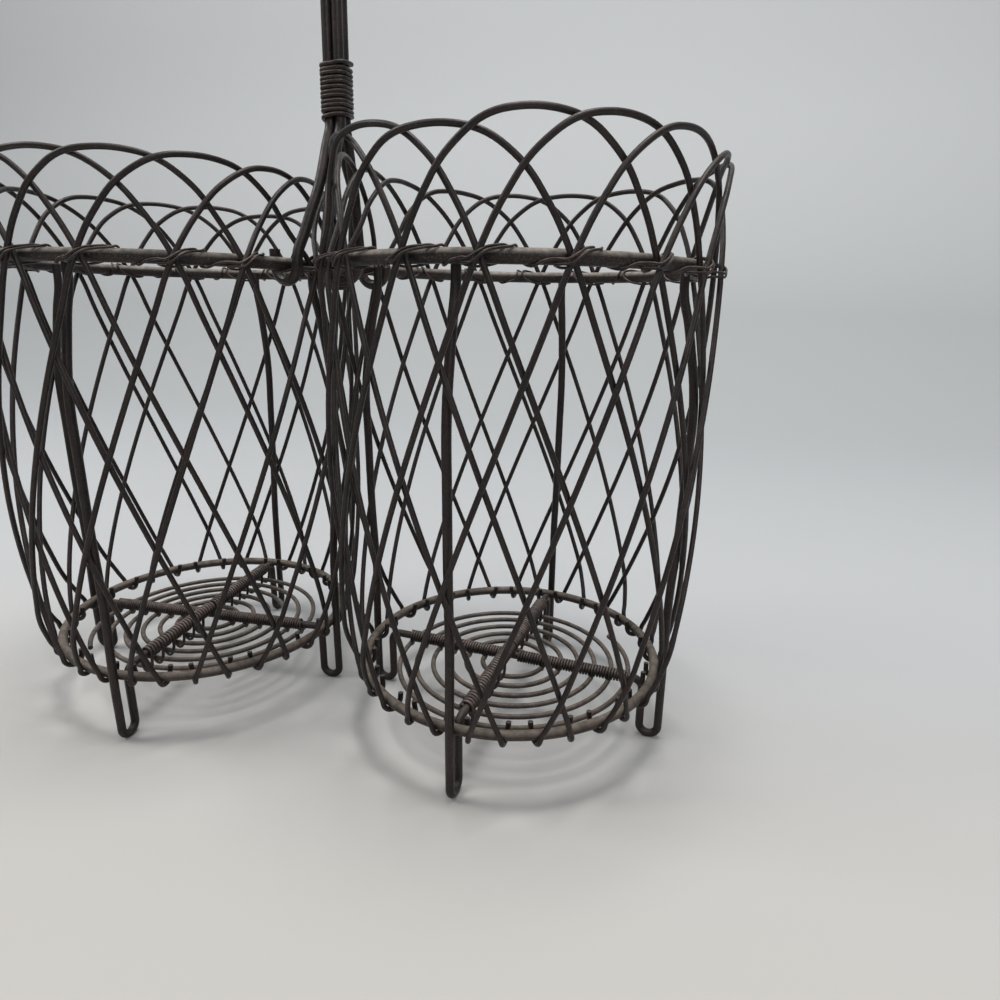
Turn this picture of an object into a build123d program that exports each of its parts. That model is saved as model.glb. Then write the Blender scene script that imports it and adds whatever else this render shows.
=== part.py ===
from build123d import *
import math
import os

os.makedirs("parts", exist_ok=True)

# A wire caddy for two bottles: two round baskets of crossed wires stand side by side, and a tall
# handle of four strands hooks under their hoops. Millimetres, +Z up, +X from the left basket to the
# right one, and the origin on the ground midway between the baskets.

# Wire gauges
hoop_wire = 3.4
ring_wire = 2.8
frame_wire = 2.4
lattice_wire = 1.45
spiral_wire = 1.5
handle_wire = 2.9
tie_wire = 0.8
neck_wire = 0.75

# Driving sizes
hoop_radius = 48.3
hoop_height = 134.5
ring_radius = 44.5
ring_height = 20.4
spiral_inner = 6.3
spiral_outer = 37.5
overall_height = 350.0

# Clearances between wires that lie against one another
touch = 0.15
hoop_to_lattice = 0.25
layer_gap = 0.3
basket_gap = 0.5
end_length = 2.4

# An arc that turns less than this, in radians, is drawn as a straight run
straight_turn = 8e-4

# The lattice: equal wires, each a long hairpin whose arch spans three of the hoop's knots
wires = 16
pitch = 360 / wires
arch_pitches = 3
first_knot = 272.8
left_travel_share = 2.12
right_travel_share = 2.33
arch_power = 2.6
# How high the arches of each basket rise, how much more the front ones do, and what each arch adds
arch_rises = {"right": (26.6, 0.6), "left": (23.4, 0)}
arch_extras = (0, 0, -1.2, 0, 0, 0, 0, 0, 0, 0, 0, 0, 0, -0.8, -2.6, 0)
# How far each knot lies from its even place, as a share of the pitch
knot_shares = (0, -0.04, 0, -0.14, -0.16, 0.18, 0.14, 0.15, 0.08, 0.14, -0.04, 0.04, 0.2, 0.14, 0.1, 0.14)
# The side's height above the base ring and its width, as shares of the ring-to-hoop distances
side_shares = ((0, 0), (0.06, 0.26), (0.11, 0.42), (0.21, 0.65), (0.37, 0.88), (0.52, 1.0), (0.72, 1.05), (1, 1))
leg_shares = (0.86, 0.72, 0.58, 0.44, 0.31, 0.19, 0.1, 0.035)
layer_fade_share = 0.09
arch_shares = (-0.84, -0.6, -0.32, -0.1, 0.1, 0.32, 0.6, 0.84)
arch_layer_shares = (1, 1, 1, 0.66, 0.34, 0, 0, 0)

# The arches beside the handle lean into their basket to let its strands through
arch_lean = 6.4
lean_power = 0.5
lean_angle = 65.0

# The baskets: where each stands, how far it is turned, and the angle at which it faces the other
lattice_inner = hoop_radius + hoop_wire / 2 + hoop_to_lattice + lattice_wire / 2
layer_step = lattice_wire + layer_gap
widest_share = max(width for height, width in side_shares)
hook_reach = ring_radius + ring_wire / 2 + touch + lattice_wire / 2
widest = hook_reach + (lattice_inner - hook_reach) * widest_share + layer_step + lattice_wire / 2
half_spacing = widest + basket_gap / 2
left_turn = 188.0
baskets = {"right": (half_spacing, 0.0, 180.0), "left": (-half_spacing, left_turn, 0.0)}

# Above its base rings the whole caddy leans back, as hand-bent wire does, so the rings stand forward
lean_slope = 0.036
base_forward = 3.6

# The frame wires: struts, U feet with a worn flat each, and the crossbars of the floor
foot_flat = 0.2
side_struts = (174.0, 354.0)
front_struts = (264.0, 444.0)
strut_top = 0.4
foot_radius = ring_wire / 2 + touch + frame_wire / 2
bar_bend = 3.0
low_bar = 18.6
bar_step = frame_wire + touch
strut_inset = hoop_wire / 2 + tie_wire + 3 * touch + frame_wire / 2
strut_gap = lattice_wire / 2 + 2 * touch + frame_wire / 2
strut_shares = (0.72, 0.52, 0.37, 0.21)
strut_shoulder_share = 0.86

# The floor spiral and its ties
spiral_turns = 6
spiral_pitch = (spiral_outer - spiral_inner) / spiral_turns
spiral_start = 40.0
spiral_height = low_bar - frame_wire / 2 - touch - spiral_wire / 2
tie_turns = 5
tie_shares = (0, 0.07, 0.13, 0.5, 0.87, 0.93)

# The wire that ties the lattice to the hoop, one turn to a knot
binding_lay = hoop_wire / 2 + 2 * touch + tie_wire / 2
binding_reach = lattice_inner + layer_step + lattice_wire / 2 + 1.5 * touch + tie_wire / 2 - hoop_radius
binding_corner = 1.6
binding_steps = (3.7, 2.75, 1.3)
binding_rise = 0.9
binding_drop = 4.4
binding_lead = 5.8

# The handle: two long wires, each bent in a hairpin, so four strands stand in a square
strand_half = (handle_wire + touch) / 2
hook_radius = hoop_wire / 2 + tie_wire + 2.5 * touch + handle_wire / 2
hook_tip = 4.0
left_hooks = (341.5, 25.9)
right_hooks = (197.9, 168.8)
neck_offset = 1.3
neck_low = 173.5
neck_turns = 9
neck_pitch = neck_wire + 0.6 * neck_wire
neck_top = neck_low + neck_turns * neck_pitch
loop_neck = 276.0
loop_half_width = 34.0
loop_height = overall_height - handle_wire / 2 - loop_neck
spread_shares = (0.24, 0.5, 0.77)
spread_heights = (0.28, 0.54, 0.77)

# The tie that holds the two hoops together where the baskets meet, over the bindings that lie on them
hoop_tie_turns = 2
hoop_tie_pitch = 1.3
hoop_tie_front = 3.0


def leaned(point):
    """Where a point of the upright design lies once the caddy leans back above its base rings."""
    above = max(0.0, point.Z - ring_height)
    grown = min(1.0, above / (hoop_height - ring_height))
    return Vector(point.X, point.Y + lean_slope * above - base_forward, point.Z - lean_slope * grown * point.Y)


def leaned_way(point, way):
    """What a direction of the upright design becomes there."""
    return (leaned(point + way.normalized() * touch) - leaned(point)).normalized()


def arc_to(start, corner, end):
    """Adds the arc from start to end whose two end directions meet at the corner."""
    into = (corner - start).normalized()
    out = (end - corner).normalized()
    turn = math.acos(max(-1.0, min(1.0, into.dot(out))))
    if turn < straight_turn:
        Line(start, end)
        return
    weight = math.cos(turn / 2)
    middle = (start + corner * (2 * weight) + end) / (2 + 2 * weight)
    ThreePointArc(start, middle, end)


def span(start, leaving, end, arriving):
    """Joins two stations by two tangent arcs, or by a straight run where both directions allow it."""
    across = end - start
    if across.normalized().dot(leaving) > 1 - 1e-9 and across.normalized().dot(arriving) > 1 - 1e-9:
        Line(start, end)
        return
    both = leaving + arriving
    squared = both.dot(both) - 4
    linear = -2 * across.dot(both)
    constant = across.dot(across)
    if abs(squared) < 1e-9:
        reach = -constant / linear
    else:
        reach = (-linear - math.sqrt(linear ** 2 - 4 * squared * constant)) / (2 * squared)
    first = start + leaving * reach
    second = end - arriving * reach
    joint = (first + second) / 2
    arc_to(start, first, joint)
    arc_to(joint, second, end)


def directions(stations):
    """The wire's direction at each station: the one given, or that of the arc through its neighbours."""
    points = [leaned(Vector(*point)) for point, given in stations]
    found = [leaned_way(Vector(*point), Vector(*given)) if given else None for point, given in stations]
    for i in range(1, len(points) - 1):
        if found[i] is None:
            before = points[i] - points[i - 1]
            after = points[i + 1] - points[i]
            mean = before.normalized() * after.length + after.normalized() * before.length
            found[i] = mean.normalized()
    for end, near in ((0, 1), (-1, -2)):
        if found[end] is None:
            chord = (points[near] - points[end]).normalized()
            found[end] = (chord * (2 * found[near].dot(chord)) - found[near]).normalized()
    return points, found


def bent_wire(name, stations, diameter, flat=False):
    """One unbroken round wire through the stations, cut flat at the ground where it stands on it."""
    points, headings = directions(stations)
    with BuildPart() as wire:
        with BuildLine() as route:
            for i in range(len(points) - 1):
                span(points[i], headings[i], points[i + 1], headings[i + 1])
        with BuildSketch(Plane(origin=points[0], z_dir=headings[0])):
            Circle(diameter / 2)
        sweep()
        if flat:
            split(bisect_by=Plane.XY, keep=Keep.TOP)
    wire.part.label = name
    export_step(wire.part, "parts/" + name + ".step")
    length = sum(edge.length for edge in route.edges())
    share = wire.part.volume / (math.pi * diameter ** 2 / 4 * length)
    if abs(share - 1) > 0.01:
        print(name, "volume against section times length:", round(share, 4))
    return wire


def place(basket, angle, radius, height):
    """A point of a basket, by its angle, its distance from the basket's axis and its height."""
    centre, turn, facing = baskets[basket]
    at = math.radians(angle + turn)
    return (centre + radius * math.cos(at), radius * math.sin(at), height)


def heading(basket, angle, outward, along, up):
    """A direction at a basket's angle, from its outward, tangential and upward shares."""
    turn = baskets[basket][1]
    at = math.radians(angle + turn)
    x = outward * math.cos(at) - along * math.sin(at)
    y = outward * math.sin(at) + along * math.cos(at)
    return (x, y, up)


def side_radius(share):
    """Radius of the inner lattice layer at a share of the height from the ring to the hoop."""
    for (low, narrow), (high, wide) in zip(side_shares, side_shares[1:]):
        if share <= high:
            width = narrow + (wide - narrow) * (share - low) / (high - low)
            return hook_reach + (lattice_inner - hook_reach) * width
    return lattice_inner


def side_height(share):
    return ring_height + (hoop_height - ring_height) * share


def lean(basket, angle, share):
    """How far an arch leans into its basket, at a share of the arch's rise, beside the handle."""
    centre, turn, facing = baskets[basket]
    away = abs((angle + turn - facing + 180) % 360 - 180)
    if away >= lean_angle or share <= 0:
        return 0.0
    return arch_lean * math.cos(math.radians(90 * away / lean_angle)) ** 2 * share ** lean_power


def knot(j):
    return first_knot + pitch * (j + knot_shares[j % wires])


def leg(basket, at_hoop, at_ring, outer, way):
    """Stations of a leg from just under the hoop to its hook round the base ring."""
    stations = []
    for share in leg_shares:
        layer = outer * min(1.0, share / layer_fade_share)
        angle = at_hoop + (at_ring - at_hoop) * (1 - share)
        stations.append((place(basket, angle, side_radius(share) + layer * layer_step, side_height(share)), None))
    drift = way * math.degrees(lattice_wire / 2 / ring_radius)
    bend = hook_reach - ring_radius
    last = at_ring + 2 * drift
    stations.append((place(basket, at_ring, hook_reach, ring_height), heading(basket, at_ring, 0, 0.3 * way, -1)))
    stations.append((place(basket, at_ring + drift, ring_radius, ring_height - bend), None))
    stations.append((place(basket, last, ring_radius - bend, ring_height), heading(basket, last, 0, 0.3 * way, 1)))
    stations.append((place(basket, last + drift / 2, ring_radius - bend, ring_height + end_length), None))
    return stations


def reversed_way(stations):
    """The same stations taken from the other end."""
    turned = []
    for point, given in reversed(stations):
        turned.append((point, tuple(-part for part in given) if given else None))
    return turned


def lattice_stations(basket, j):
    """A hairpin: up the left leg in the outer layer, over the arch, down the right leg in the inner layer."""
    left = knot(j)
    right = knot(j + arch_pitches)
    rise, more = arch_rises[basket]
    rise += arch_extras[j] - more * math.sin(math.radians((left + right) / 2 + baskets[basket][1]))
    left_ring = first_knot + pitch * (j - left_travel_share)
    right_ring = first_knot + pitch * (j + arch_pitches + right_travel_share)
    stations = reversed_way(leg(basket, left, left_ring, 1, -1))
    stations.append((place(basket, left, lattice_inner + layer_step, hoop_height), None))
    for across, layer in zip(arch_shares, arch_layer_shares):
        angle = (left + right) / 2 + across * (right - left) / 2
        share = 1 - abs(across) ** arch_power
        radius = lattice_inner + layer * layer_step - lean(basket, angle, share)
        stations.append((place(basket, angle, radius, hoop_height + rise * share), None))
    stations.append((place(basket, right, lattice_inner, hoop_height), None))
    return stations + leg(basket, right, right_ring, 0, 1)


def frame_stations(basket, near_angle, far_angle, bar_height):
    """A strut, its U foot, a crossbar, and the same on the far side."""
    def half(at):
        outside = ring_radius + foot_radius
        inside = ring_radius - foot_radius
        top = hoop_radius - strut_inset
        shoulder = (top + side_radius(strut_shares[0]) - strut_gap) / 2
        bottom = frame_wire / 2 - foot_flat
        low = bottom + foot_radius
        down = (0, 0, -1)
        up = (0, 0, 1)
        stations = [(place(basket, at, top, hoop_height + strut_top), down)]
        stations.append((place(basket, at, top, hoop_height - hoop_wire), down))
        stations.append((place(basket, at, shoulder, side_height(strut_shoulder_share)), None))
        for share in strut_shares:
            radius = max(side_radius(share) - strut_gap, outside)
            stations.append((place(basket, at, radius, side_height(share)), None))
        stations.append((place(basket, at, outside, ring_height + ring_wire), down))
        stations.append((place(basket, at, outside, low), down))
        stations.append((place(basket, at, ring_radius, bottom), heading(basket, at, -1, 0, 0)))
        stations.append((place(basket, at, inside, low), up))
        stations.append((place(basket, at, inside, bar_height - bar_bend), up))
        stations.append((place(basket, at, inside - bar_bend, bar_height), heading(basket, at, -1, 0, 0)))
        return stations
    return half(near_angle) + reversed_way(half(far_angle))


def spiral_stations(basket):
    """The floor's flat spiral, a station to each quarter turn."""
    stations = []
    grow = spiral_pitch / math.radians(360)
    for quarter in range(4 * spiral_turns + 1):
        angle = spiral_start + 90 * quarter
        radius = spiral_inner + spiral_pitch * quarter / 4
        stations.append((place(basket, angle, radius, spiral_height), heading(basket, angle, grow, radius, 0)))
    return stations


def spiral_radius(angle, turn):
    """The spiral's radius where its given turn crosses an angle of the basket."""
    return spiral_inner + spiral_pitch * (turn + ((angle - spiral_start) % 360) / 360)


def tie_stations(basket, angle, bar_height):
    """Loops along half a crossbar, each passing under one turn of the spiral."""
    bend = frame_wire / 2 + touch + tie_wire / 2
    bottom = spiral_height - spiral_wire / 2 - 2 * touch - tie_wire / 2 + bend
    # Across the bar, height and direction at each sixth of a loop, from its top
    loop = ((0, bar_height + bend, 1, 0), (bend, bar_height, 0, -1), (bend, bottom, 0, -1),
            (0, bottom - bend, -1, 0), (-bend, bottom, 0, 1), (-bend, bar_height, 0, 1))
    length = 2 * math.pi * bend + 2 * (bar_height - bottom)
    slope = -spiral_pitch / length
    first = spiral_radius(angle, 0) + spiral_pitch / 2
    stations = []
    for turn in range(tie_turns, 0, -1):
        for (across, height, along, rise), share in zip(loop, tie_shares):
            radius = first + spiral_pitch * (turn - 1 - share)
            x, y, z = place(basket, angle, radius, height)
            dx, dy, dz = heading(basket, angle, 0, across, 0)
            stations.append(((x + dx, y + dy, z), heading(basket, angle, slope, along, rise)))
    x, y, z = place(basket, angle, first - spiral_pitch, bar_height + bend)
    stations.append(((x, y, z), heading(basket, angle, slope, 1, 0)))
    return stations


def binding_stations(basket):
    """One turn to each knot, obliquely over the crossed wires, and a long lay inside the hoop."""
    far, near, close = binding_steps
    turn_points = ((-binding_lead, -binding_lay, 0, (0, 1, -0.5)),
                   (-far, 0, -binding_lay, (1, 0.6, 0)),
                   (-near, binding_reach - binding_corner, -binding_lay, (1, 0.3, 0)),
                   (-close, binding_reach, -binding_rise, (0, 0.8, 1)),
                   (close, binding_reach, binding_rise, (0, 0.8, 1)),
                   (near, binding_reach - binding_corner, binding_lay, (-1, 0.3, 0)),
                   (far, 0, binding_lay, (-1, 0.5, 0)),
                   (binding_drop, -binding_lay, 0, (0, 1, 0)))
    stations = []
    for j in range(wires):
        for along, outward, up, (out, side, rise) in turn_points:
            angle = knot(j) + math.degrees(along / hoop_radius)
            point = place(basket, angle, hoop_radius + outward, hoop_height + up)
            stations.append((point, heading(basket, angle, out, side, rise)))
    return stations


def strand_stations(front, basket, hook_angle):
    """One strand of the handle, from its cut tip inside a hoop, under the hoop and up to the neck."""
    local = hook_angle - baskets[basket][1]
    side = 1 if basket == "right" else -1
    inside = hoop_radius - hook_radius
    outside = hoop_radius + hook_radius
    up = (0, 0, 1)
    down = (0, 0, -1)
    stations = [(place(basket, local, inside, hoop_height + hook_tip), down)]
    stations.append((place(basket, local, inside, hoop_height), down))
    stations.append((place(basket, local, hoop_radius, hoop_height - hook_radius), heading(basket, local, 1, 0, 0)))
    low = Vector(*place(basket, local, outside, hoop_height))
    stations.append((tuple(low), up))
    high = Vector(neck_offset + side * strand_half, front * strand_half, neck_low)
    for share, height in zip(spread_shares, spread_heights):
        x = low.X + (high.X - low.X) * min(1.0, share * 1.9)
        y = low.Y + (high.Y - low.Y) * share
        z = low.Z + (high.Z - low.Z) * height
        stations.append(((x, y, z), None))
    stations.append((tuple(high), up))
    return stations


def handle_stations(front, left_hook, right_hook):
    """A hairpin from the left basket's hoop, up the neck, round the hand loop and down to the right one."""
    y = front * strand_half
    up = (0, 0, 1)
    down = (0, 0, -1)
    middle = loop_neck + loop_height / 2
    rise = []
    rise.append(((neck_offset - strand_half, y, loop_neck), up))
    rise.append(((neck_offset - loop_half_width, y, middle), up))
    rise.append(((neck_offset, y, overall_height - handle_wire / 2), (1, 0, 0)))
    rise.append(((neck_offset + loop_half_width, y, middle), down))
    rise.append(((neck_offset + strand_half, y, loop_neck), down))
    left = strand_stations(front, "left", left_hook)
    right = reversed_way(strand_stations(front, "right", right_hook))
    return left + rise + right


def rounded_turns(low, turns, rise, middle, half_x, half_y, corner, axis):
    """Turns round a rounded rectangle about a vertical or a front-to-back axis."""
    sides = ((half_x, 0, 1, half_y), (0, half_y, 1, half_x))
    corners = ((half_x + corner, -half_y, 0, 1), (half_x + corner, half_y, 0, 1),
               (half_x, half_y + corner, -1, 0), (-half_x, half_y + corner, -1, 0),
               (-half_x - corner, half_y, 0, -1), (-half_x - corner, -half_y, 0, -1),
               (-half_x, -half_y - corner, 1, 0), (half_x, -half_y - corner, 1, 0))
    quarter = math.pi / 2 * corner
    length = 4 * quarter + 4 * half_x + 4 * half_y
    gone = (0, 2 * half_y, 2 * half_y + quarter, 2 * half_y + quarter + 2 * half_x,
            2 * half_y + 2 * quarter + 2 * half_x, 4 * half_y + 2 * quarter + 2 * half_x,
            4 * half_y + 3 * quarter + 2 * half_x, 4 * half_y + 3 * quarter + 4 * half_x)
    stations = []
    for turn in range(turns):
        for (x, y, dx, dy), travelled in zip(corners, gone):
            along = low + rise * (turn + travelled / length)
            slope = rise / length
            if axis == "up":
                stations.append(((middle + x, y, along), (dx, dy, slope)))
            else:
                stations.append(((middle + x, along, hoop_height + y), (dx, slope, dy)))
    return [stations[i] for i in range(len(stations))
            if i == 0 or Vector(*stations[i][0]).sub(Vector(*stations[i - 1][0])).length > touch]


def least_gap(stations, diameter, steps=12):
    """Least gap between parts of one winding that lie over a third of a turn apart, on points."""
    points, headings = directions(stations)
    line = []
    for i in range(len(points) - 1):
        a, b = points[i], points[i + 1]
        reach = (b - a).length / 2.6
        for step in range(steps):
            t = step / steps
            s = 1 - t
            c1 = a + headings[i] * reach
            c2 = b - headings[i + 1] * reach
            line.append(a * s ** 3 + c1 * (3 * s * s * t) + c2 * (3 * s * t * t) + b * t ** 3)
    run = [0.0]
    for i in range(1, len(line)):
        run.append(run[-1] + (line[i] - line[i - 1]).length)
    least = math.inf
    for i in range(len(line)):
        for k in range(i + 1, len(line)):
            if run[k] - run[i] > 4 * diameter:
                gap = (line[k] - line[i]).length
                least = min(least, gap)
    return least - diameter


def winding(name, stations, diameter):
    piece = bent_wire(name, stations, diameter)
    print(name, "least gap to itself", round(least_gap(stations, diameter), 2))
    return piece


def ring(name, basket, radius, height, diameter):
    """A closed ring of round wire about a basket's axis, which leans as the basket does there."""
    middle = leaned(Vector(baskets[basket][0], 0, height))
    forward = leaned(Vector(baskets[basket][0], -radius, height)) - middle
    across = Vector(1, 0, 0)
    with BuildPart() as hoop:
        with BuildSketch(Plane(origin=middle, x_dir=across, z_dir=forward)):
            with Locations((radius, 0)):
                Circle(diameter / 2)
        revolve(axis=Axis(middle, forward.cross(across)))
    hoop.part.label = name
    export_step(hoop.part, "parts/" + name + ".step")
    return hoop


for basket in baskets:
    ring(basket + "_hoop", basket, hoop_radius, hoop_height, hoop_wire)
    ring(basket + "_base_ring", basket, ring_radius, ring_height, ring_wire)
    winding(basket + "_hoop_binding", binding_stations(basket), tie_wire)
    bent_wire(basket + "_side_frame", frame_stations(basket, *side_struts, low_bar), frame_wire, True)
    bent_wire(basket + "_front_frame", frame_stations(basket, *front_struts, low_bar + bar_step), frame_wire, True)
    winding(basket + "_floor_spiral", spiral_stations(basket), spiral_wire)
    for number, angle in enumerate(side_struts + front_struts, 1):
        bar = low_bar if number <= 2 else low_bar + bar_step
        winding(f"{basket}_crossbar_tie_{number}", tie_stations(basket, angle, bar), tie_wire)
    for j in range(wires):
        bent_wire(f"{basket}_lattice_wire_{j + 1:02d}", lattice_stations(basket, j), lattice_wire)

bent_wire("front_handle_wire", handle_stations(-1, left_hooks[0], right_hooks[0]), handle_wire)
bent_wire("rear_handle_wire", handle_stations(1, left_hooks[1], right_hooks[1]), handle_wire)
neck_corner = handle_wire / 2 + touch + neck_wire / 2
for name, low in (("lower_neck_binding", neck_low), ("upper_neck_binding", loop_neck - (neck_top - neck_low))):
    turns = rounded_turns(low, neck_turns, neck_pitch, neck_offset, strand_half, strand_half, neck_corner, "up")
    winding(name, turns, neck_wire)
tie_corner = hoop_wire / 2 + 3 * touch + tie_wire + tie_wire / 2
turns = rounded_turns(-hoop_tie_front, hoop_tie_turns, hoop_tie_pitch, 0, half_spacing - hoop_radius, 0,
                      tie_corner, "across")
winding("hoop_tie", turns, tie_wire)
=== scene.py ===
import math
import random

import bpy
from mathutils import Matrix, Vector


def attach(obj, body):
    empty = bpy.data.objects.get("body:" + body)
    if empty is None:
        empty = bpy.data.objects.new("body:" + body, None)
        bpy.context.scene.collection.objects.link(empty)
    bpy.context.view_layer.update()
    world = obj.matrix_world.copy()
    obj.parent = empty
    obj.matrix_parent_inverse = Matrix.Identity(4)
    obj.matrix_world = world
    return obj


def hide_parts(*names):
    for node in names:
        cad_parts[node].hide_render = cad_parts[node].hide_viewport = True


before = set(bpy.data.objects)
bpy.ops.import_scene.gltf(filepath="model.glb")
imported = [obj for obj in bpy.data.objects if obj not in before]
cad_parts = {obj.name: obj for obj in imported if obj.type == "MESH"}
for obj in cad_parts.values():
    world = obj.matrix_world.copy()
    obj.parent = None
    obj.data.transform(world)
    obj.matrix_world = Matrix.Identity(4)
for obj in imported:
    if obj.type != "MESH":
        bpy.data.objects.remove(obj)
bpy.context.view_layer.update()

# A double bottle caddy of dark, patinated iron wire. Its sizes are in millimetres, turned to metres by mm,
# and its angles in degrees. The studio is in metres.
mm = 0.001
random.seed(7)

# The camera stands close in front of the right basket and looks a little left and down
camera_place = (97.26, -196.93, 130.66)
camera_turn = (72.87, -0.68, 13.94)
camera_lens = 25.27
camera_sensor = 36.0
camera_near = 10

# The baskets and the caddy's lean, as the wires of the frame have them. Knots stand where lattice wires cross
# at the hoop, and each is off its even place by a share of the pitch.
half_spacing = 53.91
left_turn = 188.0
baskets = {"right": (half_spacing, 0.0), "left": (-half_spacing, left_turn)}
ring_height = 20.4
hoop_radius = 48.3
hoop_height = 134.5
hoop_wire = 3.4
lean_slope = 0.036
base_forward = 3.6
knots = 16
knot_pitch = 360 / knots
first_knot = 272.8
knot_shares = (0, -0.04, 0, -0.14, -0.16, 0.18, 0.14, 0.15, 0.08, 0.14, -0.04, 0.04, 0.2, 0.14, 0.1, 0.14)
crossing_reach = 5.54

# The crossbars of the floor and the flat spiral that is tied under them
side_bar_height = 18.6
front_bar_height = 21.15
bar_wire = 2.4
side_bar_angles = (174.0, 354.0)
front_bar_angles = (264.0, 444.0)
spiral_height = 16.5
spiral_wire = 1.5
spiral_start = 40.0
spiral_inner = 6.3
spiral_outer = 37.5
spiral_turns = 6
spiral_growth = (spiral_outer - spiral_inner) / spiral_turns

# The handle's neck, and the lowest and highest level of its two windings
neck_middle = 1.3
strand_wire = 2.9
strand_half = 1.525
lower_neck = (174.0, 186.2)
upper_neck = (264.8, 275.8)

# The thin wires
neck_wire = 1.08
lash_wire = 0.62
side_wrap_wire = 0.72
front_wrap_wire = 0.95

# A crossbar's winding: its turns to each space of the spiral, and how far from the middle it starts
side_wrap_turns = 6
side_wrap_start = 2.6
front_wrap_turns = 4
front_wrap_start = 0.3


def clear_selection():
    if bpy.context.object and bpy.context.object.mode != "OBJECT":
        bpy.ops.object.mode_set(mode="OBJECT")
    bpy.ops.object.select_all(action="DESELECT")


def leaned(x, y, z):
    """A point in metres, from its place in the upright design in millimetres."""
    above = max(0.0, z - ring_height)
    grown = min(1.0, above / (hoop_height - ring_height))
    return Vector((x, y + lean_slope * above - base_forward, z - lean_slope * grown * y)) * mm


def place(basket, angle, radius, height, across=0.0):
    """A point of a basket by its angle, its distance from the axis, its height and a step to the side."""
    centre, turn = baskets[basket]
    at = math.radians(angle + turn)
    x = centre + radius * math.cos(at) - across * math.sin(at)
    y = radius * math.sin(at) + across * math.cos(at)
    return leaned(x, y, height)


def bent_wire(name, points, thickness, steps, roundness):
    """A round wire whose smooth line passes through the points, as a closed mesh."""
    chord_parts = 6
    crease_angle = 50
    clear_selection()
    bpy.ops.curve.primitive_bezier_curve_add(location=(0, 0, 0))
    wire = bpy.context.object
    wire.name = name
    curve = wire.data
    spline = curve.splines[0]
    spline.bezier_points.add(len(points) - len(spline.bezier_points))
    last = len(points) - 1
    for i, knot in enumerate(spline.bezier_points):
        reach = (points[min(last, i + 1)] - points[max(0, i - 1)]) / chord_parts
        knot.handle_left_type = "FREE"
        knot.handle_right_type = "FREE"
        knot.co = points[i]
        knot.handle_left = points[i] - reach
        knot.handle_right = points[i] + reach
    curve.resolution_u = steps
    curve.bevel_depth = thickness / 2 * mm
    curve.bevel_resolution = roundness
    curve.use_fill_caps = True
    bpy.ops.object.convert(target="MESH")
    wire = bpy.context.object
    bpy.ops.object.shade_smooth_by_angle(angle=math.radians(crease_angle))
    return wire


def finish_wire(wire, material, *nodes):
    """Gives a thin wire its finish and puts it in place of its CAD nodes."""
    wire.data.materials.clear()
    wire.data.materials.append(material)
    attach(wire, "root")
    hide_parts(*nodes)


# Materials

def socket(group, name, kind, side="INPUT"):
    return group.interface.new_socket(name=name, in_out=side, socket_type=kind)


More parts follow.
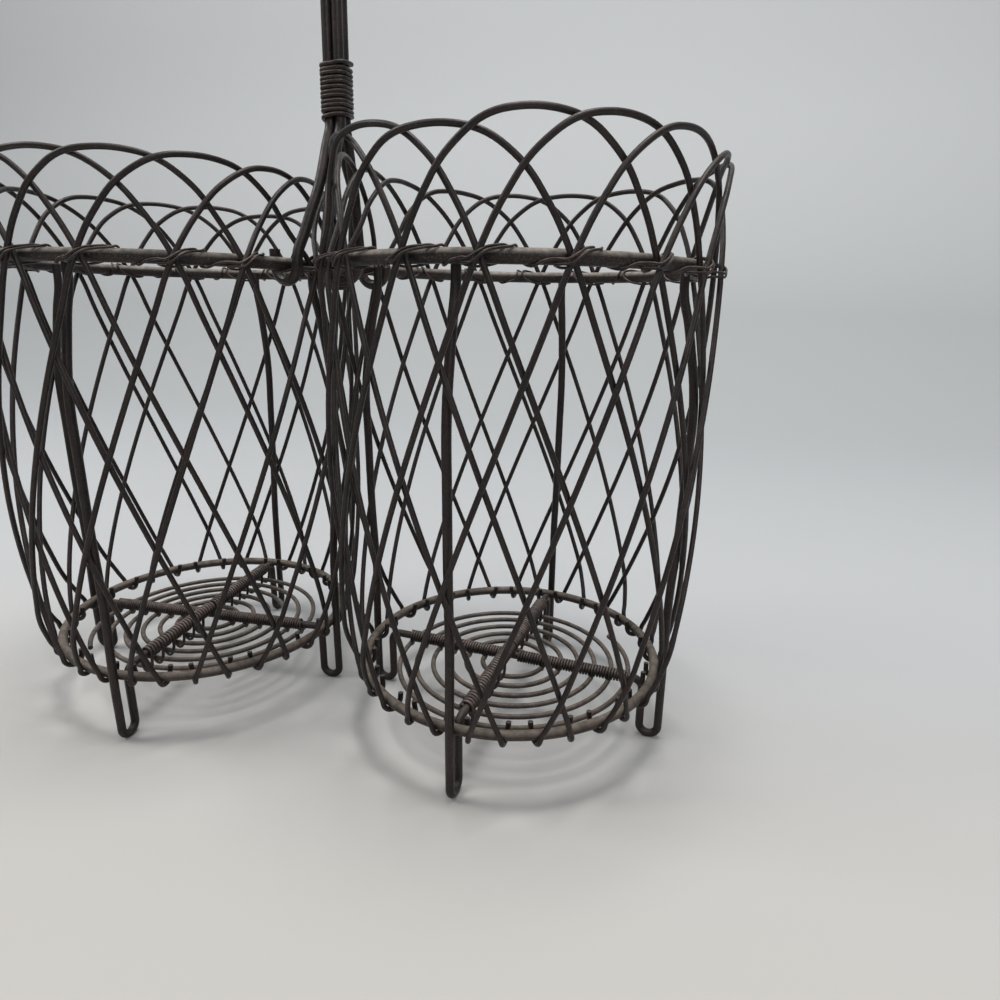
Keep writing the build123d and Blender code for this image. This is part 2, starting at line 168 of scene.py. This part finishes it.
def patina_and_top_light_group():
    """Dark iron with brown and grey patches, pale dust with painted top light on what faces up, and a pitted
    skin.
    """
    patch_share = 0.7
    mottle_share = 0.3
    dust_roughness = 0.25
    mottle_depth = 0.7
    grain_depth = 0.3
    group = bpy.data.node_groups.new("iron_patina_and_top_light", "ShaderNodeTree")
    for name in ("Dark", "Brown", "Dust And Top Light"):
        socket(group, name, "NodeSocketColor")
    for name in ("Dust And Top Light Amount", "Dust And Top Light Edge", "Dust And Top Light Full", "Bare Roughness"):
        socket(group, name, "NodeSocketFloat")
    socket(group, "Colour", "NodeSocketColor", "OUTPUT")
    socket(group, "Roughness", "NodeSocketFloat", "OUTPUT")
    socket(group, "Height", "NodeSocketFloat", "OUTPUT")
    nodes, links = group.nodes, group.links
    given = nodes.new("NodeGroupInput").outputs
    made = nodes.new("NodeGroupOutput").inputs
    where = nodes.new("ShaderNodeTexCoord")

    def noise(scale, detail, roughness):
        node = nodes.new("ShaderNodeTexNoise")
        node.inputs["Scale"].default_value = scale
        node.inputs["Detail"].default_value = detail
        node.inputs["Roughness"].default_value = roughness
        links.new(where.outputs["Object"], node.inputs["Vector"])
        return node.outputs["Fac"]

    def enter(value, entry):
        if isinstance(value, (int, float)):
            entry.default_value = value
        else:
            links.new(value, entry)

    def spread(value, low, high, to_low=0.0, to_high=1.0):
        node = nodes.new("ShaderNodeMapRange")
        for name, bound in (("Value", value), ("From Min", low), ("From Max", high),
                            ("To Min", to_low), ("To Max", to_high)):
            enter(bound, node.inputs[name])
        return node.outputs["Result"]

    def reckon(kind, first, second):
        node = nodes.new("ShaderNodeMath")
        node.operation = kind
        enter(first, node.inputs[0])
        enter(second, node.inputs[1])
        return node.outputs["Value"]

    def mix(amount, first, second):
        """Blends two colours. The node numbers its factor 0, its two colours 6 and 7, and the result 2."""
        node = nodes.new("ShaderNodeMix")
        node.data_type = "RGBA"
        links.new(amount, node.inputs[0])
        links.new(first, node.inputs[6])
        links.new(second, node.inputs[7])
        return node.outputs[2]

    patches = noise(scale=85, detail=3, roughness=0.6)
    mottle = noise(scale=420, detail=4, roughness=0.6)
    grains = noise(scale=2600, detail=2, roughness=0.7)
    blotches = reckon("ADD", reckon("MULTIPLY", patches, patch_share),
                      reckon("MULTIPLY", mottle, mottle_share))
    colour = mix(spread(blotches, low=0.42, high=0.62), given["Dark"], given["Brown"])
    # Pale dust and painted top light: the skin turns to the pale colour in patches as it faces up
    facing = nodes.new("ShaderNodeSeparateXYZ")
    links.new(nodes.new("ShaderNodeNewGeometry").outputs["Normal"], facing.inputs["Vector"])
    dusty = spread(facing.outputs["Z"], given["Dust And Top Light Edge"], given["Dust And Top Light Full"])
    dusty = reckon("MULTIPLY", dusty, spread(mottle, low=0.3, high=0.72, to_low=0.35, to_high=1.15))
    dusty = reckon("MULTIPLY", dusty, spread(patches, low=0.3, high=0.7, to_low=0.55, to_high=1.2))
    dusty = reckon("MULTIPLY", dusty, given["Dust And Top Light Amount"])
    colour = mix(dusty, colour, given["Dust And Top Light"])
    colour = mix(spread(grains, low=0.55, high=0.75, to_low=0.0, to_high=0.28), colour, given["Dust And Top Light"])
    links.new(colour, made["Colour"])
    worn = spread(mottle, low=0.3, high=0.7, to_low=0.10, to_high=-0.08)
    duller = reckon("ADD", worn, reckon("MULTIPLY", dusty, dust_roughness))
    links.new(reckon("ADD", given["Bare Roughness"], duller), made["Roughness"])
    height = reckon("ADD", reckon("MULTIPLY", mottle, mottle_depth), reckon("MULTIPLY", grains, grain_depth))
    links.new(height, made["Height"])
    return group


def iron(name, dark, brown, dust, dust_amount, dust_edge, dust_full, roughness):
    """Iron with the shared patina and painted top light. Dust and painted top light grow as the skin faces
    up, from the edge facing to the full facing.
    """
    relief_strength = 0.5
    relief_depth = 0.2
    metallic = 0.1
    specular = 0.36
    material = bpy.data.materials.new(name)
    material.use_nodes = True
    nodes, links = material.node_tree.nodes, material.node_tree.links
    shader = nodes["Principled BSDF"]
    effect = nodes.new("ShaderNodeGroup")
    effect.node_tree = patina_and_top_light
    for entry, colour in (("Dark", dark), ("Brown", brown), ("Dust And Top Light", dust)):
        effect.inputs[entry].default_value = (*colour, 1)
    for entry, amount in (("Dust And Top Light Amount", dust_amount), ("Dust And Top Light Edge", dust_edge), ("Dust And Top Light Full", dust_full),
                          ("Bare Roughness", roughness)):
        effect.inputs[entry].default_value = amount
    links.new(effect.outputs["Colour"], shader.inputs["Base Color"])
    links.new(effect.outputs["Roughness"], shader.inputs["Roughness"])
    relief = nodes.new("ShaderNodeBump")
    relief.inputs["Strength"].default_value = relief_strength
    relief.inputs["Distance"].default_value = relief_depth * mm
    links.new(effect.outputs["Height"], relief.inputs["Height"])
    links.new(relief.outputs["Normal"], shader.inputs["Normal"])
    shader.inputs["Metallic"].default_value = metallic
    shader.inputs["Specular IOR Level"].default_value = specular
    return material


patina_and_top_light = patina_and_top_light_group()
# The floor wires' brown, and the pale colour of their dust with painted top light
floor_brown = (0.055, 0.038, 0.031)
floor_dust = (0.250, 0.210, 0.172)
# The pale colour of each finish is dust with painted top light, laid on what faces up; the hoop's is palest
lattice_iron = iron("lattice_iron", dark=(0.0095, 0.0060, 0.0056), brown=(0.022, 0.0135, 0.012),
                    dust=(0.150, 0.125, 0.111), dust_amount=0.55, dust_edge=0.2, dust_full=1.0,
                    roughness=0.40)
hoop_iron = iron("hoop_iron", dark=(0.010, 0.0065, 0.006), brown=(0.026, 0.017, 0.014),
                 dust=(0.330, 0.292, 0.248), dust_amount=1.05, dust_edge=0.2, dust_full=0.8,
                 roughness=0.48)
handle_iron = iron("handle_iron", dark=(0.011, 0.0075, 0.007), brown=(0.029, 0.018, 0.016),
                   dust=(0.190, 0.162, 0.140), dust_amount=0.6, dust_edge=0.15, dust_full=1.0,
                   roughness=0.38)
ring_iron = iron("ring_iron", dark=(0.019, 0.0135, 0.011), brown=floor_brown,
                 dust=floor_dust, dust_amount=0.8, dust_edge=0.1, dust_full=0.9,
                 roughness=0.50)
spiral_iron = iron("spiral_iron", dark=(0.020, 0.015, 0.0125), brown=floor_brown,
                   dust=floor_dust, dust_amount=0.65, dust_edge=0.1, dust_full=1.0,
                   roughness=0.50)
binding_iron = iron("binding_iron", dark=(0.012, 0.008, 0.0075), brown=(0.036, 0.021, 0.019),
                    dust=(0.260, 0.210, 0.180), dust_amount=0.7, dust_edge=0.1, dust_full=1.0,
                    roughness=0.38)

# Each wire of the frame takes its finish by its name. One with no ending listed here is a lattice wire or
# a thin one.
finishes = {"_hoop": hoop_iron, "_base_ring": ring_iron, "_spiral": spiral_iron, "_handle_wire": handle_iron,
            "_frame": lattice_iron}
for name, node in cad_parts.items():
    material = lattice_iron if "lattice" in name else binding_iron
    for ending, finish in finishes.items():
        if name.endswith(ending):
            material = finish
    node.data.materials.clear()
    node.data.materials.append(material)


# Bindings and windings

# The lash round a knot: steps along the hoop in millimetres, then outward and up in shares of the lay;
# an outward step of crossing passes outside the crossed wires
crossing = None
lash_turns = ((-9.0, -0.60, -0.82), (-7.6, 0.40, -0.94), (-6.0, 0.92, -0.52), (-4.4, 1.05, -0.30),
              (-2.9, 2.00, -0.30), (-1.5, crossing, -0.35), (0.5, crossing, 0.25), (1.9, 2.00, 0.70),
              (3.4, 1.00, 0.92), (5.0, 0.30, 1.02), (5.7, -0.70, 0.76), (5.2, -1.02, 0.0),
              (2.6, -0.75, -0.72), (-1.2, 0.05, -1.04), (-3.4, 0.95, -0.85), (-2.3, 2.10, -0.80),
              (-0.8, crossing, -0.75), (1.2, crossing, 0.05), (2.6, 2.00, 0.45), (4.3, 1.10, 0.72),
              (6.3, 0.62, 0.86), (7.3, -0.20, 1.02), (7.6, -0.95, 0.35), (8.2, -0.95, -0.35))


def hoop_lashing(basket):
    """The thin wire round the hoop: twice round each knot, then on along the hoop to the next."""
    gap = 0.04
    most_slack = 0.35
    slack_length = 4
    loosest = 1.04
    lay = hoop_wire / 2 + lash_wire / 2 + gap
    points = []
    for j in range(knots):
        middle = first_knot + knot_pitch * (j + knot_shares[j])
        slack = random.uniform(-most_slack, most_slack)
        loose = random.uniform(1.0, loosest)
        for along, outward, up in lash_turns:
            reach = crossing_reach if outward is crossing else outward * lay * loose
            step = along + slack * abs(along) / slack_length
            angle = middle + math.degrees(step / hoop_radius)
            points.append(place(basket, angle, hoop_radius + reach, hoop_height + up * lay * loose))
    wire = bent_wire(basket + "_hoop_lashing", points, lash_wire, steps=5, roundness=2)
    finish_wire(wire, binding_iron, basket + "_hoop_binding")


def bar_winding(basket, number, angle, height, wire_size, turns_per_space, start):
    """Close turns along half a crossbar. Wherever the spiral crosses it, one turn dips under and holds it."""
    gap = 0.02
    spiral_gap = 0.05
    unevenness = 0.05
    steps = 12
    dip_from = 0.2
    dip_length = 0.6
    wrap = bar_wire / 2 + wire_size / 2 + gap
    first = spiral_inner + spiral_growth * (((angle - spiral_start) % 360) / 360)
    low = spiral_height - spiral_wire / 2 - wire_size / 2 - spiral_gap
    pitch = spiral_growth / turns_per_space
    end = first + spiral_growth * (spiral_turns - 1) + pitch
    count = int((end - start) / pitch)
    points = []
    for turn in range(count):
        middle = start + pitch * (turn + 0.5)
        beyond = (middle - first + pitch / 2) % spiral_growth
        holds = beyond < pitch and middle > first - pitch
        for step in range(steps):
            part = step / steps
            around = 2 * math.pi * part
            radius = start + pitch * (turn + part) + random.uniform(-unevenness, unevenness)
            up = height + wrap * math.cos(around)
            if holds and dip_from < part < dip_from + dip_length:
                dip = math.sin(math.pi * (part - dip_from) / dip_length)
                up = min(up, height - (height - low) * dip)
            points.append(place(basket, angle, radius, up, wrap * math.sin(around)))
    wire = bent_wire(f"{basket}_bar_winding_{number}", points, wire_size, steps=2, roundness=2)
    finish_wire(wire, binding_iron, f"{basket}_crossbar_tie_{number}")


def neck_winding(name, levels, node):
    """Close turns round the four strands. The upper end lifts off them and the lower one droops."""
    low, high = levels
    gap = 0.02
    looseness = 1.03
    steps = 24
    start_turn = -0.25
    squareness = 3.4
    wobble = 0.10
    wobble_rate = 0.61
    droop = 1.3
    lift_share = 0.10
    reach = strand_half + strand_wire / 2 + neck_wire / 2 + gap
    pitch = neck_wire * looseness
    turns = round((high - low) / pitch)
    points = []
    for step in range(-steps // 2, turns * steps + steps // 2 + 1):
        around = 2 * math.pi * (step / steps + start_turn)
        x, y = math.cos(around), math.sin(around)
        scale = (abs(x) ** squareness + abs(y) ** squareness) ** (-1 / squareness)
        height = low + pitch * step / steps + wobble * math.sin(around * wobble_rate)
        # How far, in half turns, the wire is past its first and its last close turn
        before = max(0.0, -step / steps * 2)
        beyond = max(0.0, (step / steps - turns) * 2)
        height += droop * (beyond - before)
        radius = reach * scale * (1 + lift_share * beyond)
        points.append(leaned(neck_middle + x * radius, y * radius, height))
    wire = bent_wire(name, points, neck_wire, steps=2, roundness=3)
    finish_wire(wire, binding_iron, node)


def hoop_tie():
    """Close turns round both hoops, where the baskets meet."""
    stand_off = 1.35
    turns = 4
    pitch = 0.78
    start = -3.3
    hoop_share = 0.95
    inner_share = 0.3
    side_share = 0.7
    half = half_spacing - hoop_radius
    reach = hoop_wire / 2 + stand_off
    # One turn, across and up in shares: round the right hoop, back over both, round the left one, and under
    loop = ((inner_share, -1.0), (hoop_share, -1.0), (1.0, -side_share),
            (1.0, side_share), (hoop_share, 1.0), (inner_share, 1.0),
            (-inner_share, 1.0), (-hoop_share, 1.0), (-1.0, side_share),
            (-1.0, -side_share), (-hoop_share, -1.0), (-inner_share, -1.0))
    points = []
    for turn in range(turns):
        for step, (across, up) in enumerate(loop):
            side = math.copysign(1, across)
            beyond = reach * math.sqrt(1 - up ** 2)
            x = side * half * min(1.0, abs(across) / hoop_share) + side * beyond
            points.append(leaned(x, start + pitch * (turn + step / len(loop)), hoop_height + reach * up))
    wire = bent_wire("hoops_tie", points, lash_wire, steps=6, roundness=3)
    finish_wire(wire, binding_iron, "hoop_tie")


# The crossbar ties are numbered 1 and 2 on the side bar's halves, and 3 and 4 on the front bar's
for basket in baskets:
    hoop_lashing(basket)
    for number, angle in enumerate(side_bar_angles, 1):
        bar_winding(basket, number, angle, side_bar_height, side_wrap_wire,
                    side_wrap_turns, side_wrap_start)
    for number, angle in enumerate(front_bar_angles, 3):
        bar_winding(basket, number, angle, front_bar_height, front_wrap_wire,
                    front_wrap_turns, front_wrap_start)
neck_winding("lower_neck_winding", lower_neck, "lower_neck_binding")
neck_winding("upper_neck_winding", upper_neck, "upper_neck_binding")
hoop_tie()


# The studio: a pale floor that curves up into the backdrop, three soft lamps, a pale sky and the camera

# The paper's painted light and shade from front to back, each with its share of the way from paper_front to
# paper_back
paper_front = -0.2
paper_back = 1.0
paper_painted_light_and_shade = ((0.10, (0.545, 0.525, 0.495)), (0.23, (0.530, 0.538, 0.545)), (0.47, (0.482, 0.492, 0.500)),
               (0.79, (0.458, 0.468, 0.470)), (0.94, (0.590, 0.600, 0.600)))


def studio_paper():
    """Paper with painted light and shade: a warm painted light in the foreground, cooler behind the caddy,
    painted shade in its curve, and pale above.
    """
    roughness = 0.85
    specular = 0.2
    material = bpy.data.materials.new("studio_paper")
    material.use_nodes = True
    nodes, links = material.node_tree.nodes, material.node_tree.links
    shader = nodes["Principled BSDF"]
    where = nodes.new("ShaderNodeSeparateXYZ")
    links.new(nodes.new("ShaderNodeTexCoord").outputs["Object"], where.inputs["Vector"])
    shade = nodes.new("ShaderNodeValToRGB")
    span = nodes.new("ShaderNodeMapRange")
    span.inputs["From Min"].default_value = paper_front
    span.inputs["From Max"].default_value = paper_back
    links.new(where.outputs["Y"], span.inputs["Value"])
    links.new(span.outputs["Result"], shade.inputs["Fac"])
    stops = shade.color_ramp.elements
    nearest, *between, farthest = paper_painted_light_and_shade
    for stop, (position, tone) in zip(stops, (nearest, farthest)):
        stop.position = position
        stop.color = (*tone, 1)
    for position, tone in between:
        stop = stops.new(position)
        stop.color = (*tone, 1)
    links.new(shade.outputs["Color"], shader.inputs["Base Color"])
    shader.inputs["Roughness"].default_value = roughness
    shader.inputs["Specular IOR Level"].default_value = specular
    return material


def studio_floor():
    front = 4.0
    back = 0.45
    curve_radius = 0.5
    half_width = 4.0
    steps = 16
    wall = 2.0
    clear_selection()
    bpy.ops.mesh.primitive_plane_add(size=1, location=(0, 0, 0))
    floor = bpy.context.object
    floor.name = "studio_floor"
    for vertex in floor.data.vertices:
        behind = vertex.co.y > 0
        vertex.co = (math.copysign(half_width, vertex.co.x), back if behind else -front, 0)
        vertex.select = behind
    for edge in floor.data.edges:
        edge.select = all(floor.data.vertices[i].select for i in edge.vertices)
    for face in floor.data.polygons:
        face.select = False
    bpy.ops.object.mode_set(mode="EDIT")
    bpy.ops.mesh.select_mode(type="EDGE")
    for step in range(steps):
        before = math.pi / 2 * step / steps
        after = math.pi / 2 * (step + 1) / steps
        rise = curve_radius * (math.cos(before) - math.cos(after))
        deeper = curve_radius * (math.sin(after) - math.sin(before))
        bpy.ops.mesh.extrude_edges_move(TRANSFORM_OT_translate={"value": (0, deeper, rise)})
    bpy.ops.mesh.extrude_edges_move(TRANSFORM_OT_translate={"value": (0, 0, wall)})
    bpy.ops.object.mode_set(mode="OBJECT")
    bpy.ops.object.shade_smooth()
    floor.data.materials.append(studio_paper())


def area_lamp(name, at, target, width, power):
    clear_selection()
    bpy.ops.object.light_add(type="AREA", location=at)
    lamp = bpy.context.object
    lamp.name = name
    lamp.data.size = width
    lamp.data.energy = power
    lamp.rotation_euler = (Vector(target) - Vector(at)).to_track_quat("-Z", "Y").to_euler()


def studio_air():
    """The pale light that comes from all round."""
    tone = (0.94, 0.97, 1.0)
    strength = 0.36
    air = bpy.data.worlds.new("studio_air")
    bpy.context.scene.world = air
    air.use_nodes = True
    background = air.node_tree.nodes["Background"]
    background.inputs["Color"].default_value = (*tone, 1)
    background.inputs["Strength"].default_value = strength


def studio_camera():
    """The camera in the photograph's place, with its view of the caddy."""
    clear_selection()
    at = [along * mm for along in camera_place]
    turned = [math.radians(angle) for angle in camera_turn]
    bpy.ops.object.camera_add(location=at, rotation=turned)
    camera = bpy.context.object
    camera.data.lens = camera_lens
    camera.data.sensor_width = camera_sensor
    camera.data.clip_start = camera_near * mm
    bpy.context.scene.camera = camera


studio_floor()
area_lamp("ceiling_lamp", at=(0.12, 0.06, 1.4), target=(0.05, 0, 0), width=0.45, power=11.5)
area_lamp("left_lamp", at=(-1.1, -0.3, 1.2), target=(0, 0, 0.05), width=0.6, power=8)
area_lamp("front_lamp", at=(0.9, -1.3, 1.1), target=(0.05, 0, 0.05), width=0.8, power=5.5)
studio_air()
studio_camera()
bpy.context.scene.view_settings.view_transform = "Standard"
